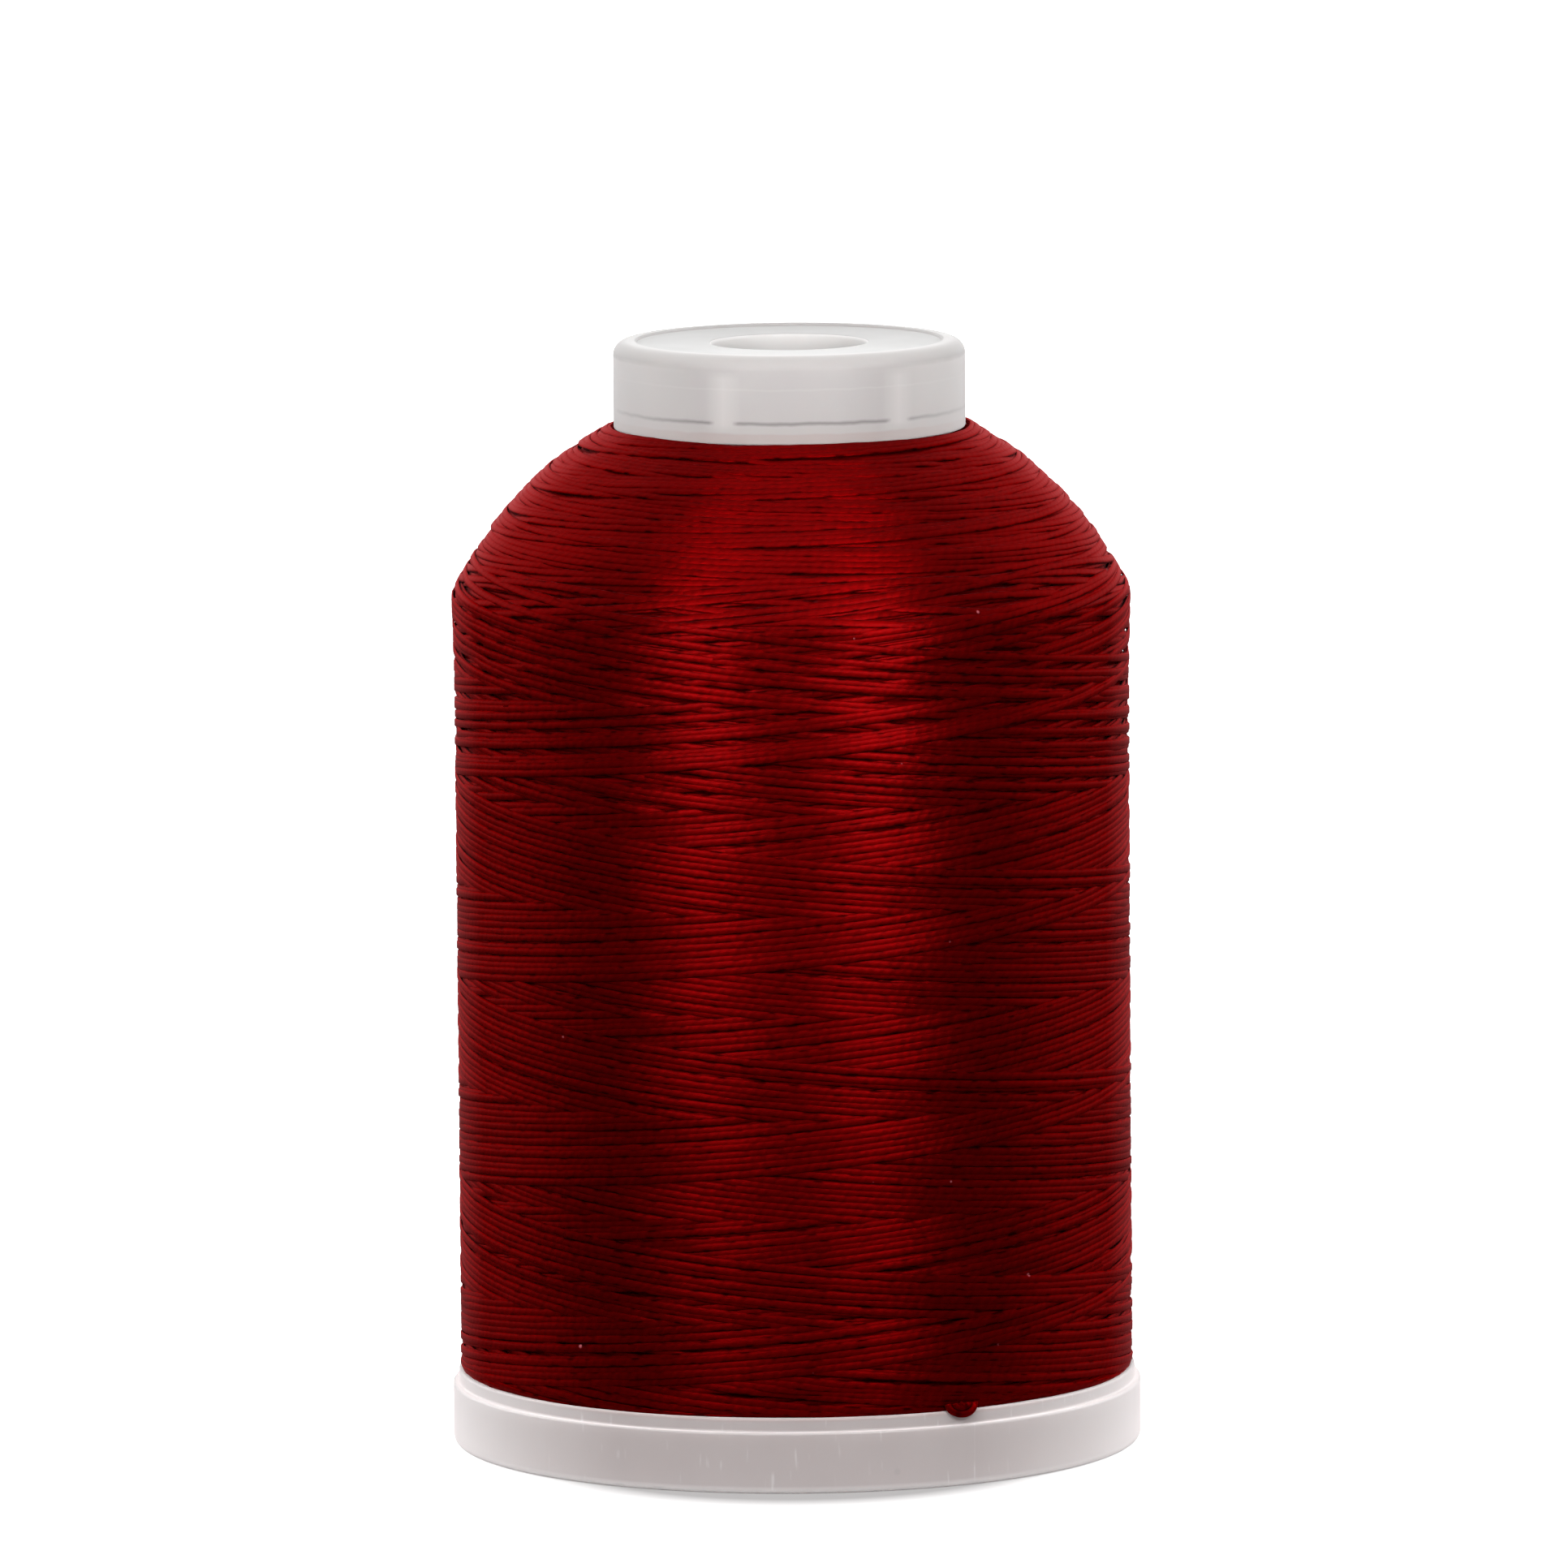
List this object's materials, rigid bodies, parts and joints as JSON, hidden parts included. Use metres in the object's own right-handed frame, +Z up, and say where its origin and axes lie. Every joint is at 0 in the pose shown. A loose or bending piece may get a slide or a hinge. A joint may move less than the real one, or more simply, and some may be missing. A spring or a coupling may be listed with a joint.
{
  "type": "spool of thread",
  "caption": "Snap spool of fine sewing thread: wound thread on a hollow flanged tube, with a frosted top collar and a base that snaps on over the foot and stores the thread's end.",
  "frame": {"origin": "centre of the base's underside, on the spool's axis, where the spool stands", "axes": "+Z up along the spool's axis, from the base to the collar; -Y is the front, with the thread's start loop to the right of it"},
  "size_m": [0.041, 0.041, 0.0658],
  "materials": {
    "white_plastic": "satin moulded",
    "frosted_plastic": "frosted translucent",
    "red_thread": "lustrous deep red"
  },
  "bodies": {
    "base": {"snap_base": "white_plastic"},
    "spool": {"spool_tube": "white_plastic", "top_collar": "frosted_plastic", "thread_package": "red_thread", "thread_start_loop": "red_thread"}
  },
  "joints": [
    {"name": "snap_slide", "type": "slide", "parent": "base", "child": "spool", "axis": [0, 0, 1], "range_m": [0, 0.003]}
  ]
}
